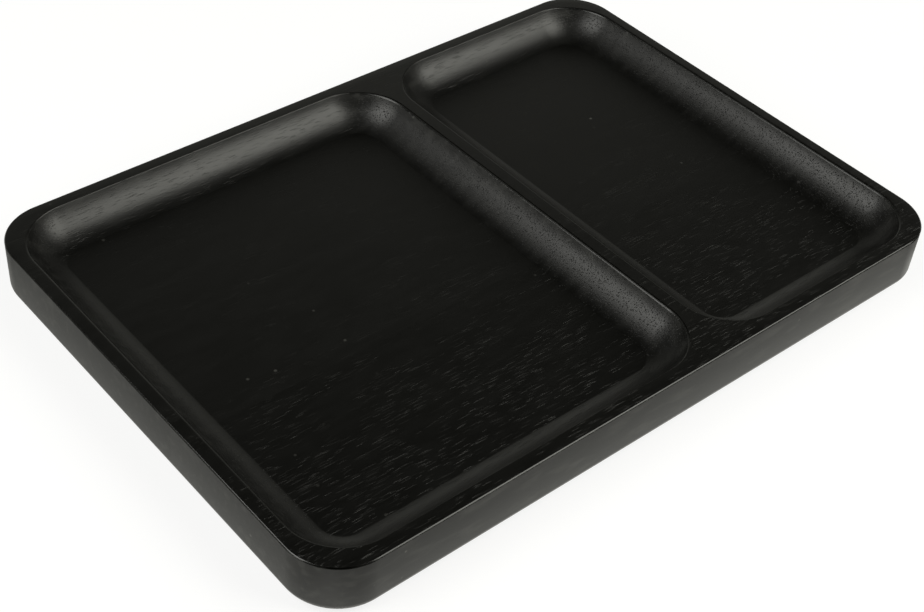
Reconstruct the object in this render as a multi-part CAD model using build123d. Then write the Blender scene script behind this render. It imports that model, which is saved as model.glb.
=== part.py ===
"""Two-compartment valet tray, milled from a glued-up board of open-grained hardwood.

Three staves lie side by side along the tray's length and are glued edge to edge. Two pockets are
then cut across the glue lines with a round-cornered cutter, so each floor runs up into its walls in
a cove. Four rubber feet are stuck under the corners.

Frame: millimetres, +X along the length towards the small pocket, +Y to the rear, +Z up. The origin
is under the middle of the tray, on the surface that the feet stand on.
"""

import os

from build123d import *

# Board
tray_length = 254.0
tray_width = 178.0
board_thickness = 19.0
outer_corner_radius = 17.5
underside_round = 3.5
top_edge_break = 0.4

# Staves, counted from the front; the middle one fills what the other two leave
front_stave_width = 72.0
rear_stave_width = 50.5

# Pockets; the large one takes the length that the small one, the rims and the divider leave
rim_width = 4.7
divider_width = 5.5
small_pocket_length = 95.2
pocket_depth = 9.5
floor_corner_radius = 7.4
cove_radius = 15.9
cove_dip = 0.3
rim_edge_break = 0.3

# Feet
foot_diameter = 12.0
foot_height = 1.6
foot_edge_bevel = 0.4
foot_inset = 24.0

# How far a cut runs past the surface that it opens
overrun = 1.0

underside_z = foot_height
top_z = underside_z + board_thickness
floor_z = top_z - pocket_depth


def board():
    """The glued-up blank, cut to its outline and rounded over underneath."""
    outline = RectangleRounded(tray_length, tray_width, outer_corner_radius)
    blank = Pos(0, 0, underside_z) * extrude(outline, board_thickness)
    return fillet(blank.edges().group_by(Axis.Z)[0], underside_round)


def cove_run(rise):
    """How far the cove's arc has run out, as seen from above, where it has climbed this much."""
    return (cove_radius**2 - (cove_radius - rise) ** 2) ** 0.5


def pocket_cut(x_low, x_high):
    """What the cutter takes out between two rims: a flat floor and a cove all round it.

    The arc would bottom out a little below the floor, so it meets the floor at a slight angle and
    leaves a crisp line there. It also stops short of upright at the rim, so the full quarter round
    that it belongs to stands outside the rim's edge. That quarter round is cut off at the floor.
    """
    run_at_floor = cove_run(cove_dip)
    spread = cove_radius - cove_run(cove_dip + pocket_depth)
    length = x_high - x_low + 2 * spread
    width = tray_width - 2 * rim_width + 2 * spread
    outline = RectangleRounded(length, width, floor_corner_radius + cove_radius - run_at_floor)
    height = max(cove_radius, cove_dip + pocket_depth) + overrun
    centre = Pos((x_low + x_high) / 2, 0, floor_z)
    cut = centre * Pos(0, 0, -cove_dip) * extrude(outline, height)
    cut = fillet(cut.edges().group_by(Axis.Z)[0], cove_radius)
    return cut & centre * extrude(Rectangle(length, width), height)


def pocket_spans():
    """Where each pocket's rim runs along X, the large pocket first."""
    x_left = rim_width - tray_length / 2
    x_right = tray_length / 2 - rim_width
    x_small = x_right - small_pocket_length
    return [(x_left, x_small - divider_width), (x_small, x_right)]


def milled_board():
    """The blank with both pockets cut, and every edge of its top sanded off a little."""
    milled = board()
    for x_low, x_high in pocket_spans():
        milled -= pocket_cut(x_low, x_high)
    top = milled.faces().sort_by(Axis.Z)[-1]
    milled = fillet(top.outer_wire().edges(), top_edge_break)
    top = milled.faces().sort_by(Axis.Z)[-1]
    rim_edges = [edge for wire in top.inner_wires() for edge in wire.edges()]
    return fillet(rim_edges, rim_edge_break)


def staves():
    """The milled board, parted again along its glue lines."""
    milled = milled_board()
    y_front = -tray_width / 2
    y_rear = tray_width / 2
    glue_lines = [y_front + front_stave_width, y_rear - rear_stave_width]
    names = ["front_stave", "middle_stave", "rear_stave"]
    lows = [y_front, *glue_lines]
    highs = [*glue_lines, y_rear]
    pieces = {}
    for name, y_low, y_high in zip(names, lows, highs):
        slab = Box(tray_length, y_high - y_low, board_thickness)
        pieces[name] = milled & Pos(0, (y_low + y_high) / 2, underside_z + board_thickness / 2) * slab
    return pieces


def foot():
    """A soft rubber disc, bevelled where it meets the table."""
    disc = Pos(0, 0, foot_height / 2) * Cylinder(foot_diameter / 2, foot_height)
    return chamfer(disc.edges().group_by(Axis.Z)[0], foot_edge_bevel)


def feet():
    """One foot under each corner."""
    x_foot = tray_length / 2 - foot_inset
    y_foot = tray_width / 2 - foot_inset
    sides = {"left": -x_foot, "right": x_foot}
    ends = {"front": -y_foot, "rear": y_foot}
    return {
        f"foot_{end}_{side}": Pos(x, y, 0) * foot()
        for end, y in ends.items()
        for side, x in sides.items()
    }


os.makedirs("parts", exist_ok=True)
for node, solid in (staves() | feet()).items():
    export_step(solid, f"parts/{node}.step")
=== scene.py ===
import math

import bmesh
import bpy
from mathutils import Euler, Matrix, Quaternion, Vector


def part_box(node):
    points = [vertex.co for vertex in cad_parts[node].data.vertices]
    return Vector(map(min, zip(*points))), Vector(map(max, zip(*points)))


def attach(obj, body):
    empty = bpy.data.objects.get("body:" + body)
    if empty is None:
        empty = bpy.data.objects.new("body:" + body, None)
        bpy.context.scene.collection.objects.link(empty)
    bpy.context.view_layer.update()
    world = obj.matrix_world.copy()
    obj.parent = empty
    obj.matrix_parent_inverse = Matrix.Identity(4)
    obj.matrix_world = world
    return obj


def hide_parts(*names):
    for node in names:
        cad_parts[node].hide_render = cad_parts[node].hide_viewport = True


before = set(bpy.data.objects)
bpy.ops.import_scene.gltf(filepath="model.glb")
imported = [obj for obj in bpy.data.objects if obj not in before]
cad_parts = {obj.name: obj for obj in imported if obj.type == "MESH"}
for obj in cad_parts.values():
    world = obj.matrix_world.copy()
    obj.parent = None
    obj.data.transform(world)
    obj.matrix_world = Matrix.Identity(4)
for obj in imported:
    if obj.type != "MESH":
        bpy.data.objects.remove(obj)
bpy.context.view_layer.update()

# Viewpoint: a long lens, above and to the left of the tray's front left corner, looking down along
# the large pocket. The picture is a cut-out from a wider one, so the lens is shifted a little.
camera_place = (-0.28295, -0.2912, 0.3454)
camera_turns = (47.353, -3.356, -39.396)
bpy.ops.object.select_all(action="DESELECT")
bpy.ops.object.camera_add(location=camera_place)
camera = bpy.context.object
camera.name = "camera"
camera.rotation_euler = Euler([math.radians(turn) for turn in camera_turns])
camera.data.sensor_fit = "HORIZONTAL"
camera.data.sensor_width = 36.0
camera.data.lens = 62.97
camera.data.shift_x = 0.0333
camera.data.shift_y = 0.0274
camera.data.clip_start = 0.01
bpy.context.scene.camera = camera

# Board: three staves of black-stained, open-pored hardwood, glued edge to edge. The board is cut to
# its rounded outline, two coved pockets are milled across the glue lines, and the edges are sanded.
board_length = 0.254
board_width = 0.178
board_thickness = 0.019
underside_z = 0.0016
outer_corner_radius = 0.0175
underside_round = 0.0035
top_edge_break = 0.0004
arris_profile = 0.3
crown_steps = ((0.0015, 0.00014), (0.0020, 0.00008))
top_z = underside_z + board_thickness
shoulder_z = top_z - sum(rise for run, rise in crown_steps)
half_length = board_length / 2
half_width = board_width / 2
touching = 1e-6


def take_alone(piece):
    """Selects one object, and nothing else."""
    bpy.ops.object.select_all(action="DESELECT")
    piece.select_set(True)
    bpy.context.view_layer.objects.active = piece


def squared_block(name, low, high):
    """A block between two corners."""
    low, high = Vector(low), Vector(high)
    bpy.ops.object.select_all(action="DESELECT")
    bpy.ops.mesh.primitive_cube_add(size=1, location=(low + high) / 2, scale=high - low)
    piece = bpy.context.object
    piece.name = piece.data.name = name
    bpy.ops.object.transform_apply(location=True, rotation=True, scale=True)
    return piece


def round_over(piece, is_chosen, radius, steps, profile=0.5):
    """Rounds the edges that is_chosen picks, by their ends and the angle between their faces."""
    take_alone(piece)
    bpy.ops.object.mode_set(mode="EDIT")
    bpy.ops.mesh.select_mode(type="EDGE")
    bpy.ops.mesh.select_all(action="DESELECT")
    shape = bmesh.from_edit_mesh(piece.data)
    for edge in shape.edges:
        start, end = (corner.co for corner in edge.verts)
        edge.select = is_chosen(start, end, edge.calc_face_angle(0))
    bmesh.update_edit_mesh(piece.data)
    bpy.ops.mesh.bevel(
        offset=radius, segments=steps, profile=profile, affect="EDGES", clamp_overlap=False
    )
    bpy.ops.object.mode_set(mode="OBJECT")


def upright(start, end, angle):
    """Picks the edges that stand straight up."""
    return abs(start.z - end.z) > touching and (start.xy - end.xy).length < touching


def level_at(height, least_angle=0.0):
    """Picks the edges that lie at a height, where their faces meet at no less than an angle."""

    def is_chosen(start, end, angle):
        at_height = abs(start.z - height) < touching and abs(end.z - height) < touching
        return at_height and angle >= least_angle

    return is_chosen


def step_in(piece, height, steps):
    """Insets the flat face at a height in steps, each with its run inwards and its rise."""
    take_alone(piece)
    bpy.ops.object.mode_set(mode="EDIT")
    bpy.ops.mesh.select_mode(type="FACE")
    bpy.ops.mesh.select_all(action="DESELECT")
    shape = bmesh.from_edit_mesh(piece.data)
    for face in shape.faces:
        at_height = abs(face.calc_center_median().z - height) < touching
        face.select = at_height and abs(face.normal.z) > 0.5
    bmesh.update_edit_mesh(piece.data)
    for run, rise in steps:
        bpy.ops.mesh.inset(thickness=run, depth=rise)
    bpy.ops.object.mode_set(mode="OBJECT")


board = squared_block(
    "board", (-half_length, -half_width, underside_z), (half_length, half_width, shoulder_z)
)
round_over(board, upright, outer_corner_radius, steps=32)
round_over(board, level_at(underside_z), underside_round, steps=14)
step_in(board, shoulder_z, crown_steps)
round_over(board, level_at(shoulder_z), top_edge_break, steps=6, profile=arris_profile)

rim_width = 0.0047
divider_width = 0.0055
small_pocket_length = 0.0952
pocket_depth = 0.0095
floor_corner_radius = 0.0074
cove_radius = 0.0159
cove_dip = 0.0003
floor_z = top_z - pocket_depth


def cove_run(rise):
    """How far the cove's arc has run out where it has climbed this much."""
    return math.sqrt(cove_radius**2 - (cove_radius - rise) ** 2)


def cut_out(piece, tool):
    """Takes the tool's shape out of the piece, and puts the tool away."""
    take_alone(piece)
    cut = piece.modifiers.new("cut", "BOOLEAN")
    cut.operation = "DIFFERENCE"
    cut.solver = "EXACT"
    cut.object = tool
    bpy.ops.object.modifier_apply(modifier=cut.name)
    bpy.data.objects.remove(tool)


def saw(piece, point, normal):
    """Saws the piece through and keeps the side that the normal points away from."""
    take_alone(piece)
    bpy.ops.object.mode_set(mode="EDIT")
    bpy.ops.mesh.select_all(action="SELECT")
    bpy.ops.mesh.bisect(plane_co=point, plane_no=normal, use_fill=True, clear_outer=True)
    bpy.ops.object.mode_set(mode="OBJECT")


def pocket_tool(name, x_low, x_high):
    """The shape that the cutter sweeps: a round-cornered block, coved below and sawn off flat."""
    spread = cove_radius - cove_run(cove_dip + pocket_depth)
    y_rim = half_width - rim_width + spread
    tool = squared_block(
        name,
        (x_low - spread, -y_rim, floor_z - cove_dip),
        (x_high + spread, y_rim, floor_z + cove_radius + cove_dip),
    )
    corner_radius = floor_corner_radius + cove_radius - cove_run(cove_dip)
    round_over(tool, upright, corner_radius, steps=32)
    round_over(tool, level_at(floor_z - cove_dip), cove_radius, steps=40)
    saw(tool, (0, 0, floor_z), (0, 0, -1))
    return tool


x_divider = half_length - rim_width - small_pocket_length
cut_out(board, pocket_tool("large_pocket", rim_width - half_length, x_divider - divider_width))
cut_out(board, pocket_tool("small_pocket", x_divider, half_length - rim_width))

rim_edge_break = 0.0008
share_along_grain = 0.15
least_rim_angle = 0.5
nearly_level = 0.99
inside_outline = half_width - rim_width + rim_edge_break


def break_rims(piece):
    """Breaks the pockets' edges, much more on the end grain than along the grain."""
    take_alone(piece)
    bpy.ops.object.mode_set(mode="EDIT")
    shape = bmesh.from_edit_mesh(piece.data)
    weight = shape.edges.layers.float.new("bevel_weight_edge")
    is_rim = level_at(top_z, least_rim_angle)
    for edge in shape.edges:
        start, end = (corner.co for corner in edge.verts)
        if is_rim(start, end, edge.calc_face_angle(0)) and abs(start.y) < inside_outline:
            across = abs((end - start).normalized().y)
            edge[weight] = share_along_grain + (1 - share_along_grain) * across
    bmesh.update_edit_mesh(piece.data)
    bpy.ops.object.mode_set(mode="OBJECT")
    broken = piece.modifiers.new("broken", "BEVEL")
    broken.limit_method = "WEIGHT"
    broken.width = rim_edge_break
    broken.segments = 6
    broken.profile = 0.5
    broken.use_clamp_overlap = False
    bpy.ops.object.modifier_apply(modifier=broken.name)


def mark_handled(piece):
    """Marks the broken edges that hands and cloth have rubbed smooth: outside, and on end grain."""
    handled = piece.data.attributes.new("handled", "FLOAT", "FACE")
    for face in piece.data.polygons:
        if face.center.z > top_z - rim_edge_break and touching < face.normal.z < nearly_level:
            outer = face.normal.dot(face.center) > 0
            handled.data[face.index].value = 1 if outer else abs(face.normal.normalized().x)


break_rims(board)
mark_handled(board)

# Pores: vessels that run along the board and rise a little, so that they come out of its faces as
# fine dashes, and across the grain as dots. They crowd together in some growth rings.
wanders_per_metre = (9, 50, 50)
noise_mean = (0.5, 0.5, 0.5)
wander_reach = (0, 0.0006, 0.0008)
rings_per_metre = (36, 150, 110)
ring_range = (0.35, 0.65)
side_slope = 0.03
rise_slope = 0.045
narrowest_bore = 0.5
bore_edge = (1.0, 0.35)
kept_range = (0.35, 0.5)
pits_per_metre = (700, 1700, 1700)
pit_edge = (0.36, 0.12)
shallowest = 0.3


def add_node(tree, kind, feeds=None, **settings):
    """Adds a node, sets what it does, and wires or sets its inputs."""
    node = tree.nodes.new(kind)
    for key, value in settings.items():
        setattr(node, key, value)
    for socket, value in (feeds or {}).items():
        if isinstance(value, bpy.types.NodeSocket):
            tree.links.new(value, node.inputs[socket])
        else:
            node.inputs[socket].default_value = value
    return node


def reckon(tree, kind, *terms):
    """One calculation with numbers, such as MULTIPLY or ADD, and its result."""
    return add_node(tree, "ShaderNodeMath", dict(enumerate(terms)), operation=kind).outputs[0]


def reckon_vector(tree, kind, *terms):
    """One calculation with vectors, such as MULTIPLY or ADD, and its result."""
    feeds = dict(enumerate(terms))
    outputs = add_node(tree, "ShaderNodeVectorMath", feeds, operation=kind).outputs
    return outputs["Value" if kind in ("DOT_PRODUCT", "LENGTH") else "Vector"]


def axes_of(tree, point):
    """The point's X, Y and Z."""
    return add_node(tree, "ShaderNodeSeparateXYZ", {"Vector": point}).outputs


def fade(tree, value, none_at, all_at):
    """0 where the value is at none_at or past it, 1 where it is at all_at, and smooth between."""
    feeds = {"Value": value, "From Min": none_at, "From Max": all_at}
    node = add_node(tree, "ShaderNodeMapRange", feeds, interpolation_type="SMOOTHSTEP")
    return node.outputs["Result"]


def lift(tree, share, least):
    """The share, lifted so that none becomes the least and all stays all."""
    return reckon(tree, "MULTIPLY_ADD", share, 1 - least, least)


def add_noise(tree, point, per_metre, detail):
    """Soft noise, which changes this often in a metre along each axis."""
    feeds = {
        "Vector": reckon_vector(tree, "MULTIPLY", point, per_metre),
        "Scale": 1.0,
        "Detail": detail,
    }
    return add_node(tree, "ShaderNodeTexNoise", feeds).outputs


def add_cells(tree, point, scale=1.0, **settings):
    """Scattered points: the distance to the nearest one, and three random numbers of its own."""
    feeds = {"Vector": point, "Scale": scale}
    cells = add_node(tree, "ShaderNodeTexVoronoi", feeds, **settings).outputs
    own = add_node(tree, "ShaderNodeSeparateColor", {"Color": cells["Color"]}).outputs
    return cells["Distance"], own


def new_group(name, inputs, outputs):
    """An empty node group with named inputs and outputs."""
    group = bpy.data.node_groups.new(name, "ShaderNodeTree")
    for label, kind in inputs.items():
        group.interface.new_socket(label, in_out="INPUT", socket_type=kind)
    for label, kind in outputs.items():
        group.interface.new_socket(label, in_out="OUTPUT", socket_type=kind)
    given = group.nodes.new("NodeGroupInput").outputs
    result = group.nodes.new("NodeGroupOutput").inputs
    return group, given, result


number, vector = "NodeSocketFloat", "NodeSocketVector"
pore_group, given, result = new_group(
    "open_pores",
    {"Point": vector, "Pitch": number, "Width": number, "Crowding": number},
    {"Pores": number, "Kept": number, "Rings": number, "Ends": number},
)
tree = pore_group

wander = add_noise(tree, given["Point"], wanders_per_metre, detail=1.0)["Color"]
wander = reckon_vector(tree, "SUBTRACT", wander, noise_mean)
drift = reckon_vector(tree, "MULTIPLY", wander, wander_reach)
bent = reckon_vector(tree, "ADD", drift, given["Point"])

rings = add_noise(tree, bent, rings_per_metre, detail=2.0)["Fac"]
crowded = fade(tree, reckon(tree, "ADD", rings, given["Crowding"]), *ring_range)
tree.links.new(crowded, result["Rings"])

run = axes_of(tree, bent)
section = add_node(
    tree,
    "ShaderNodeCombineXYZ",
    {
        "X": reckon(tree, "MULTIPLY_ADD", run["X"], side_slope, run["Y"]),
        "Y": reckon(tree, "MULTIPLY_ADD", run["X"], rise_slope, run["Z"]),
    },
).outputs[0]
vessels_per_metre = reckon(tree, "DIVIDE", 1.0, given["Pitch"])
distance, own = add_cells(tree, section, vessels_per_metre, voronoi_dimensions="2D")
own_width = reckon(tree, "ADD", own["Green"], narrowest_bore)
bore = reckon(tree, "MULTIPLY", given["Width"], own_width)
hollow = fade(tree, reckon(tree, "DIVIDE", distance, bore), *bore_edge)
pore = reckon(tree, "MULTIPLY", hollow, lift(tree, own["Blue"], shallowest))
tree.links.new(pore, result["Pores"])
tree.links.new(fade(tree, own["Red"], *kept_range), result["Kept"])

ends = reckon_vector(tree, "MULTIPLY", given["Point"], pits_per_metre)
distance, own = add_cells(tree, ends)
pit = fade(tree, distance, *pit_edge)
pit = reckon(tree, "MULTIPLY", pit, lift(tree, own["Red"], shallowest))
tree.links.new(pit, result["Ends"])

# Finish: a satin clear coat over the black stain. It lies a little unevenly, which shows as soft
# clouds drawn out along the grain, and it holds the odd pale fleck of dust.
flecks_per_metre = (120, 120, 120)
fleck_edge = (0.09, 0.02)
fleck_rarity = 4.0
clouds_per_metre = (80, 300, 300)
cloud_range = (0.3, 0.7)

finish_outputs = {"Dust": number, "Cloud": number}
finish_group, given, result = new_group("finish", {"Point": vector}, finish_outputs)
tree = finish_group
strewn = reckon_vector(tree, "MULTIPLY", given["Point"], flecks_per_metre)
distance, own = add_cells(tree, strewn)
paleness = reckon(tree, "POWER", own["Red"], fleck_rarity)
dust = reckon(tree, "MULTIPLY", paleness, fade(tree, distance, *fleck_edge))
tree.links.new(dust, result["Dust"])
cloud = add_noise(tree, given["Point"], clouds_per_metre, detail=5.0)["Fac"]
tree.links.new(fade(tree, cloud, *cloud_range), result["Cloud"])

# Staves: front, middle and rear, planks of one wood with plain glued edges. The board above is
# parted at its glue lines, and each stave has its own run of grain, closest at front and rear. The
# rear one is turned end for end, so its vessels rise the other way and show as dashes on its cove.
front_stave_width = 0.072
rear_stave_width = 0.0505
front_glue_y = front_stave_width - half_width
rear_glue_y = half_width - rear_stave_width
pore_pitch = 0.0004
pore_width = 0.28
dash_depth = 0.55
end_grain_range = (0.2, 0.7)
upright_range = (0.3, 0.1)
share_filled = 0.9
sealed_stain = (0.0010, 0.0010, 0.0006, 1)
pore_stain = (0.0035, 0.0035, 0.0028, 1)
# Lighter colour on the upright faces, partly a rubbed finish and partly painted sheen.
rubbed_and_painted_sheen_colour = (0.028, 0.028, 0.026, 1)
rub_and_sheen_rarity = 3.0
dust_colour = (0.25, 0.25, 0.23, 1)
least_dust = 0.2
cloud_roughness = 0.04
outer_end_roughness = 0.12
handled_roughness = 0.2
pore_roughness = 0.55
pit_roughness = 1.0
pore_relief = 0.0001


def go_over(tree, value, first, last, low=0.0, high=1.0):
    """Goes evenly from first, where the value is low, to last, where it is high."""
    feeds = {
        "Value": value,
        "From Min": low,
        "From Max": high,
        "To Min": first,
        "To Max": last,
    }
    return add_node(tree, "ShaderNodeMapRange", feeds).outputs["Result"]


def blend_colours(tree, share, first, last):
    """Goes evenly from the first colour to the last one as the share goes from 0 to 1."""
    feeds = {"Factor": share, "A": first, "B": last}
    return add_node(tree, "ShaderNodeMix", feeds, data_type="RGBA").outputs["Result"]


def stained_wood(name, shift, turn, dullness, rear_pores, front_pores):
    """Black-stained wood, whose pores change evenly from rear to front.

    The pores of each place are given as its y, how much they crowd, and how deep they are.
    """
    wood = bpy.data.materials.new(name)
    wood.use_nodes = True
    tree = wood.node_tree
    shader = tree.nodes["Principled BSDF"]
    coordinates = add_node(tree, "ShaderNodeTexCoord").outputs
    place = coordinates["Object"]
    own_run = {"Vector": place, "Location": shift, "Rotation": (0, 0, turn)}
    grain = add_node(tree, "ShaderNodeMapping", own_run).outputs[0]
    rear_y, rear_crowding, rear_depth = rear_pores
    front_y, front_crowding, front_depth = front_pores
    across = axes_of(tree, place)["Y"]
    crowding = go_over(tree, across, rear_crowding, front_crowding, rear_y, front_y)
    depth = go_over(tree, across, rear_depth, front_depth, rear_y, front_y)

    facing = axes_of(tree, reckon_vector(tree, "ABSOLUTE", coordinates["Normal"]))
    on_end_grain = fade(tree, facing["X"], *end_grain_range)
    on_side = fade(tree, facing["Z"], *upright_range)
    slope = reckon(tree, "SUBTRACT", 1.0, facing["Z"])
    handled = add_node(tree, "ShaderNodeAttribute", attribute_name="handled").outputs["Fac"]

    own_pores = {
        "Point": grain,
        "Pitch": pore_pitch,
        "Width": pore_width,
        "Crowding": crowding,
    }
    pores = add_node(tree, "ShaderNodeGroup", own_pores, node_tree=pore_group).outputs
    kept = reckon(tree, "MULTIPLY", pores["Rings"], pores["Kept"])
    dashes = reckon(tree, "MULTIPLY", kept, reckon(tree, "MULTIPLY", pores["Pores"], dash_depth))
    dashes = reckon(tree, "MULTIPLY", dashes, depth)
    dots = reckon(tree, "MULTIPLY", pores["Ends"], on_end_grain)
    filled = reckon(tree, "MAXIMUM", handled, on_side)
    unfilled = reckon(tree, "MULTIPLY_ADD", filled, -share_filled, 1.0)
    opened = reckon(tree, "MULTIPLY", reckon(tree, "MAXIMUM", dashes, dots), unfilled)
    open_dots = reckon(tree, "MULTIPLY", dots, unfilled)

    finish = add_node(tree, "ShaderNodeGroup", {"Point": grain}, node_tree=finish_group).outputs
    # Lighter clouds on the upright faces, partly a rubbed finish and partly painted sheen that
    # stands in for their uneven shine.
    rubbed_and_painted_sheen = reckon(tree, "POWER", finish["Cloud"], rub_and_sheen_rarity)
    rubbed_and_painted_sheen = reckon(tree, "MULTIPLY", rubbed_and_painted_sheen, slope)
    dusty = reckon(tree, "MULTIPLY", finish["Dust"], lift(tree, slope, least_dust))
    colour = blend_colours(tree, opened, sealed_stain, pore_stain)
    colour = blend_colours(tree, rubbed_and_painted_sheen, colour, rubbed_and_painted_sheen_colour)
    colour = blend_colours(tree, dusty, colour, dust_colour)
    tree.links.new(colour, shader.inputs["Base Color"])

    clouded = reckon(tree, "MULTIPLY_ADD", finish["Cloud"], cloud_roughness, dullness)
    outer_ends = reckon(tree, "MULTIPLY", facing["X"], on_side)
    roughness = reckon(tree, "MULTIPLY_ADD", outer_ends, outer_end_roughness, clouded)
    roughness = go_over(tree, handled, roughness, handled_roughness)
    roughness = go_over(tree, opened, roughness, pore_roughness)
    roughness = go_over(tree, open_dots, roughness, pit_roughness)
    tree.links.new(roughness, shader.inputs["Roughness"])

    sunk = {"Height": opened, "Strength": 1.0, "Distance": pore_relief}
    relief = add_node(tree, "ShaderNodeBump", sunk, invert=True)
    tree.links.new(relief.outputs["Normal"], shader.inputs["Normal"])
    return wood


front_wood = stained_wood(
    "stained_wood_front",
    shift=(0, 0, 0),
    turn=0,
    dullness=0.325,
    rear_pores=(front_glue_y, 0.0, 0.6),
    front_pores=(-0.06, 0.15, 0.75),
)
middle_wood = stained_wood(
    "stained_wood_middle",
    shift=(0.31, 0.12, 0.05),
    turn=0,
    dullness=0.35,
    rear_pores=(0.0, -0.06, 0.5),
    front_pores=(front_glue_y, 0.0, 0.6),
)
rear_wood = stained_wood(
    "stained_wood_rear",
    shift=(0.77, 0.4, 0.11),
    turn=math.pi,
    dullness=0.36,
    rear_pores=(half_width, 0.17, 0.65),
    front_pores=(rear_glue_y, -0.06, 0.5),
)


smooth_angle = math.radians(30)


def finish_shading(piece, creased_height=None):
    """Smooth shading, flat on flat faces and crisp at sawn edges and at the creased height."""
    take_alone(piece)
    for edge in piece.data.edges:
        start, end = (piece.data.vertices[i].co for i in edge.vertices)
        if creased_height is not None and level_at(creased_height)(start, end, 0):
            edge.use_edge_sharp = True
    bpy.ops.object.shade_smooth_by_angle(angle=smooth_angle, keep_sharp_edges=True)
    weighted = piece.modifiers.new("weighted", "WEIGHTED_NORMAL")
    weighted.keep_sharp = True
    bpy.ops.object.modifier_apply(modifier=weighted.name)


for node, y_low, y_high, wood in (
    ("front_stave", None, front_glue_y, front_wood),
    ("middle_stave", front_glue_y, rear_glue_y, middle_wood),
    ("rear_stave", rear_glue_y, None, rear_wood),
):
    stave = board.copy()
    stave.data = board.data.copy()
    stave.name = stave.data.name = node + "_milled"
    bpy.context.collection.objects.link(stave)
    if y_high is not None:
        saw(stave, (0, y_high, 0), (0, 1, 0))
    if y_low is not None:
        saw(stave, (0, y_low, 0), (0, -1, 0))
    finish_shading(stave, floor_z)
    stave.data.materials.append(wood)
    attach(stave, "root")
    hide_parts(node)
bpy.data.objects.remove(board)

# Feet: four soft black rubber discs, die-cut from sheet and stuck under the corners. Their edge is
# rounded and their underside pressed in a little, so that they grip with their rim.
foot_radius = 0.006
foot_edge_round = 0.0004
least_edge_angle = 1.0
hollow_steps = ((0.0014, 0.0), (0.0008, -0.00015), (0.0008, -0.00005))
speckles_per_metre = (2500, 2500, 2500)
dark_rubber = (0.03, 0.03, 0.03, 1)
worn_rubber = (0.07, 0.07, 0.07, 1)
rubber_roughness = (0.6, 0.85)
rubber_relief = 0.0001

rubber = bpy.data.materials.new("foot_rubber")
rubber.use_nodes = True
tree = rubber.node_tree
shader = tree.nodes["Principled BSDF"]
place = add_node(tree, "ShaderNodeTexCoord").outputs["Object"]
speckle = add_noise(tree, place, speckles_per_metre, detail=3.0)["Fac"]
colour = blend_colours(tree, speckle, dark_rubber, worn_rubber)
tree.links.new(colour, shader.inputs["Base Color"])
tree.links.new(go_over(tree, speckle, *rubber_roughness), shader.inputs["Roughness"])
raised = {"Height": speckle, "Strength": 0.4, "Distance": rubber_relief}
relief = add_node(tree, "ShaderNodeBump", raised)
tree.links.new(relief.outputs["Normal"], shader.inputs["Normal"])

for node in ("foot_front_left", "foot_front_right", "foot_rear_left", "foot_rear_right"):
    low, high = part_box(node)
    bpy.ops.object.select_all(action="DESELECT")
    bpy.ops.mesh.primitive_cylinder_add(
        vertices=64, radius=foot_radius, depth=high.z - low.z, location=(low + high) / 2
    )
    foot = bpy.context.object
    foot.name = foot.data.name = node + "_disc"
    bpy.ops.object.transform_apply(location=True, rotation=True, scale=True)
    step_in(foot, low.z, hollow_steps)
    round_over(foot, level_at(low.z, least_edge_angle), foot_edge_round, steps=5)
    finish_shading(foot)
    foot.data.materials.append(rubber)
    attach(foot, "root")
    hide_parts(node)

# Table top: a plain white sheet, wide enough to fill the picture from any side. It takes the tray's
# shadow. What the tray mirrors of it is a painted reflection: a glow, white close by and dimmer
# further out, that paints the tray's sides lighter towards their foot.
table_side = 12.0
paper_colour = (0.25, 0.25, 0.25, 1)
white = (1, 1, 1, 1)
painted_reflection_white = (1, 1, 0.93, 1)
painted_reflection_close_by = 0.95
painted_reflection_further_out = 0.25
painted_reflection_reach = 0.012
seen_near = 0.8
seen_far = 1.0
near_and_far = (0.4, 2.5)

bpy.ops.object.select_all(action="DESELECT")
bpy.ops.mesh.primitive_plane_add(size=table_side, location=(0, 0, 0))
table_top = bpy.context.object
table_top.name = table_top.data.name = "table_top"
sheet = bpy.data.materials.new("white_table_and_painted_glow")
sheet.use_nodes = True
tree = sheet.node_tree
tree.nodes.remove(tree.nodes["Principled BSDF"])
place = add_node(tree, "ShaderNodeTexCoord").outputs["Object"]
outward = reckon_vector(tree, "ABSOLUTE", place)
beyond = reckon_vector(tree, "SUBTRACT", outward, (half_length, half_width, 0))
clear = reckon_vector(tree, "MAXIMUM", beyond, (0, 0, 0))
gap = reckon_vector(tree, "LENGTH", clear)
# Painted reflection: a glow that only rays mirrored off the tray see, brightest close by the tray.
painted_reflection_glow = go_over(tree, gap, painted_reflection_close_by, painted_reflection_further_out, high=painted_reflection_reach)
seen = go_over(tree, gap, seen_near, seen_far, *near_and_far)
rays = add_node(tree, "ShaderNodeLightPath").outputs
by_camera = rays["Is Camera Ray"]
by_tray = reckon(tree, "MAXIMUM", rays["Is Glossy Ray"], rays["Is Transmission Ray"])
seen = reckon(tree, "MULTIPLY", by_camera, seen)
painted_reflection_glow = reckon(tree, "MULTIPLY", by_tray, painted_reflection_glow)
backdrop_and_painted_glow = add_node(
    tree,
    "ShaderNodeEmission",
    {
        "Color": blend_colours(tree, by_camera, painted_reflection_white, white),
        "Strength": reckon(tree, "ADD", seen, painted_reflection_glow),
    },
)
paper = add_node(tree, "ShaderNodeBsdfDiffuse", {"Color": paper_colour})
both = add_node(tree, "ShaderNodeAddShader", {0: paper.outputs[0], 1: backdrop_and_painted_glow.outputs[0]})
tree.links.new(both.outputs[0], tree.nodes["Material Output"].inputs["Surface"])
table_top.data.materials.append(sheet)

# Studio: two soft boxes and a dim room. One is high on the front right, the other on the left. The
# room's walls are bands of grey, and the tray's satin faces mirror them where no box shows.
lamp_distance = 1.2
room_blue = 0.9


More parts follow.
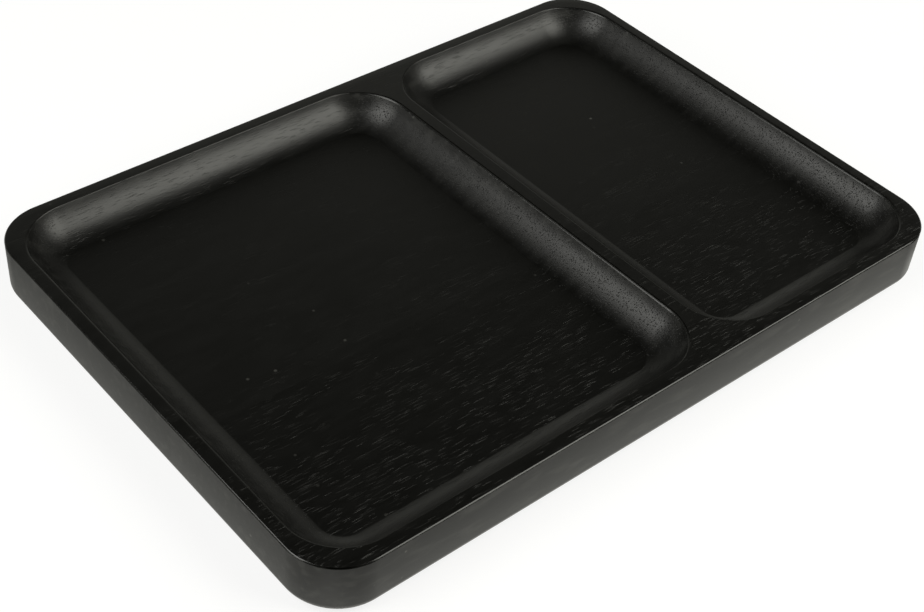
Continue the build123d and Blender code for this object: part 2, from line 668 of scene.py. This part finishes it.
def soft_box(name, azimuth, elevation, sides, radiance, colour, lean=0):
    """A lamp that faces the tray, its first side level unless it leans by some degrees."""
    a, e = math.radians(azimuth), math.radians(elevation)
    away = Vector((math.cos(a) * math.cos(e), math.sin(a) * math.cos(e), math.sin(e)))
    bpy.ops.object.light_add(type="AREA", location=away * lamp_distance)
    lamp = bpy.context.object
    lamp.name = name
    tipped = Quaternion((0, 0, 1), math.radians(lean))
    lamp.rotation_euler = (away.to_track_quat("Z", "Y") @ tipped).to_euler()
    lamp.data.shape = "RECTANGLE"
    lamp.data.size, lamp.data.size_y = sides
    lamp.data.energy = radiance * math.pi * sides[0] * sides[1]
    lamp.data.color = colour


soft_box(
    "front_right_box",
    azimuth=-50.5,
    elevation=41.7,
    sides=(0.79, 0.94),
    radiance=4.85,
    colour=(1.0, 0.995, 0.91),
)
soft_box(
    "left_box",
    azimuth=165.0,
    elevation=43.0,
    sides=(0.72, 0.94),
    radiance=4.4,
    colour=(1.0, 1.0, 0.95),
    lean=-8,
)

room = bpy.data.worlds.new("room")
bpy.context.scene.world = room
room.use_nodes = True
tree = room.node_tree
direction = add_node(tree, "ShaderNodeTexCoord").outputs["Generated"]
height = axes_of(tree, direction)["Z"]
level = reckon_vector(tree, "MULTIPLY", direction, (1, 1, 0))
level = reckon_vector(tree, "NORMALIZE", level)


def wall(azimuth, narrowness, bands):
    """A wall towards an azimuth, in bands of an elevation and its grey, that fades to its sides."""
    ramp = add_node(tree, "ShaderNodeValToRGB", {"Fac": height})
    stops = ramp.color_ramp.elements
    stops[-1].color = (0, 0, 0, 1)
    for elevation, grey in bands:
        stop = stops.new(math.sin(math.radians(elevation))) if elevation > 0 else stops[0]
        stop.color = (grey, grey, grey * room_blue, 1)
    towards = (math.cos(math.radians(azimuth)), math.sin(math.radians(azimuth)), 0)
    facing = reckon_vector(tree, "DOT_PRODUCT", level, towards)
    share = reckon(tree, "POWER", lift(tree, facing, 0.5), narrowness)
    feeds = {0: ramp.outputs["Color"], "Scale": share}
    return add_node(tree, "ShaderNodeVectorMath", feeds, operation="SCALE").outputs[0]


near_bands = ((0, 2.0), (9, 1.2), (17, 0.0))
right_bands = ((0, 0.0), (9, 0.10), (17, 0.18), (25, 0.16), (33, 0.0))
rear_bands = ((0, 0.0), (9, 0.40), (17, 0.15), (25, 0.17), (33, 0.16), (41, 0.0))
corner_bands = (
    (0, 0.0),
    (9, 0.24),
    (17, 0.38),
    (24, 0.14),
    (33, 0.11),
    (41, 0.02),
    (50, 0.02),
    (58, 0.0),
)
high_bands = ((0, 0.0), (38, 0.0), (52, 0.5), (62, 0.2), (72, 0.0))
walls = wall(azimuth=225, narrowness=2.0, bands=near_bands)
for next_wall in (
    wall(azimuth=15, narrowness=8.0, bands=right_bands),
    wall(azimuth=75, narrowness=8.0, bands=rear_bands),
    wall(azimuth=52, narrowness=40.0, bands=corner_bands),
    wall(azimuth=118, narrowness=60.0, bands=high_bands),
):
    walls = reckon_vector(tree, "ADD", next_wall, walls)
by_camera = add_node(tree, "ShaderNodeLightPath").outputs["Is Camera Ray"]
backdrop = blend_colours(tree, by_camera, walls, white)
tree.links.new(backdrop, tree.nodes["Background"].inputs["Color"])

bpy.context.scene.view_settings.view_transform = "Standard"
